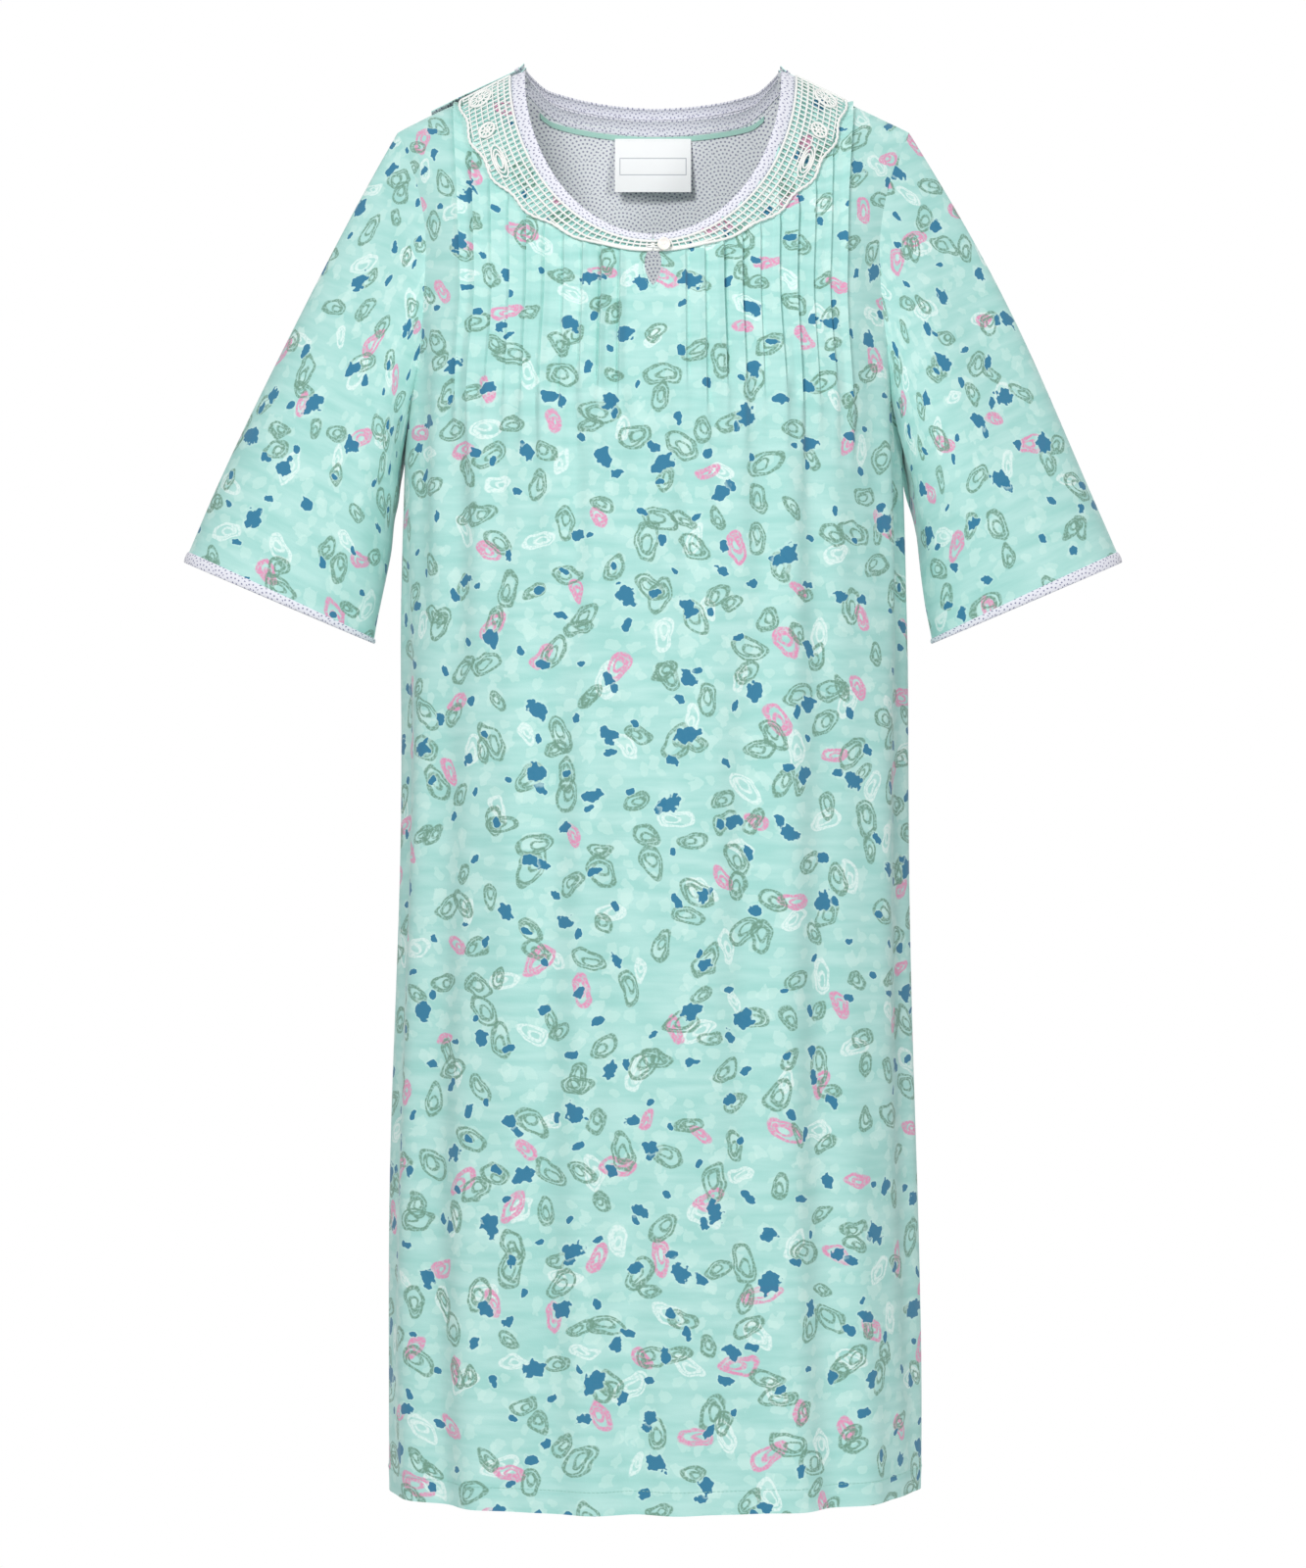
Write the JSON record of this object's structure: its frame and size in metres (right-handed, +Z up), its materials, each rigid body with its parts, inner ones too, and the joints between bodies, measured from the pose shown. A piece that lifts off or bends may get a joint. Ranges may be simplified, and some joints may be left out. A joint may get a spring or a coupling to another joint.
{
  "type": "patient gown",
  "caption": "Open-back patient gown with short sleeves, pleated front, lace collar, keyhole and button, and an overlapping back flap that snaps shut behind the shoulder.",
  "frame": {"origin": "midway between the two neck points of the shoulder line, where the shoulders or a hanger carry the gown", "axes": "+Z up from hem to shoulder, +X towards the wearer's left, front faces -Y"},
  "size_m": [0.72, 0.2559, 1.0999],
  "materials": {
    "printed_cotton": "printed light cotton weave, mint ground with teal dabs and sage and pink loops",
    "dotted_cotton": "white cotton printed with fine lilac dots",
    "lace": "cotton guipure lace, matte off-white",
    "thread": "twisted polyester sewing thread",
    "mint_tape": "folded self-fabric neck tape",
    "label_satin": "woven satin label, blank",
    "pearl_button": "pearlescent moulded polyester",
    "snap_metal": "nickel-plated pressed brass"
  },
  "bodies": {
    "gown": {"front_panel": "printed_cotton", "right_front_neck_binding": "dotted_cotton", "right_lace_collar": "lace", "left_front_neck_binding": "dotted_cotton", "left_lace_collar": "lace", "keyhole_facing": "dotted_cotton", "button_thread_shank": "thread", "button_loop": "thread", "outer_back_panel": "printed_cotton", "inner_back_panel": "printed_cotton", "outer_neck_binding_end": "dotted_cotton", "inner_neck_binding": "dotted_cotton", "back_neck_tape": "mint_tape", "right_snap_1_post": "snap_metal", "right_snap_1_stud": "snap_metal", "right_snap_2_post": "snap_metal", "right_snap_2_stud": "snap_metal", "left_snap_1_post": "snap_metal", "left_snap_1_stud": "snap_metal", "left_snap_1_socket": "snap_metal", "left_snap_1_cap": "snap_metal", "left_snap_2_post": "snap_metal", "left_snap_2_stud": "snap_metal", "left_snap_2_socket": "snap_metal", "left_snap_2_cap": "snap_metal"},
    "back_flap": {"outer_back_flap": "printed_cotton", "outer_neck_binding": "dotted_cotton", "right_snap_1_socket": "snap_metal", "right_snap_1_cap": "snap_metal", "right_snap_2_socket": "snap_metal", "right_snap_2_cap": "snap_metal"},
    "right_arm": {"right_sleeve": "printed_cotton", "right_cuff_band": "dotted_cotton"},
    "left_arm": {"left_sleeve": "printed_cotton", "left_cuff_band": "dotted_cotton"},
    "label": {"neck_label": "label_satin"},
    "button": {"neck_button": "pearl_button"}
  },
  "joints": [
    {"name": "back_flap_swing", "type": "hinge", "parent": "gown", "child": "back_flap", "pos_m": [0.12, 0.1035, 0], "axis": [0, 0, -1], "range_deg": [0, 100]},
    {"name": "right_sleeve_raise", "type": "hinge", "parent": "gown", "child": "right_arm", "pos_m": [-0.198, 0, -0.047], "axis": [0, 1, 0], "range_deg": [0, 30]},
    {"name": "left_sleeve_raise", "type": "hinge", "parent": "gown", "child": "left_arm", "pos_m": [0.198, 0, -0.047], "axis": [0, -1, 0], "range_deg": [0, 30]},
    {"name": "neck_label_flip", "type": "hinge", "parent": "gown", "child": "label", "pos_m": [0, 0.0731, -0.038], "axis": [-1, 0, 0], "range_deg": [0, 85]},
    {"name": "neck_button_turn", "type": "hinge", "parent": "gown", "child": "button", "pos_m": [0.0081, -0.1148, -0.1465], "axis": [0, 1, 0], "range_deg": [-90, 90]}
  ]
}
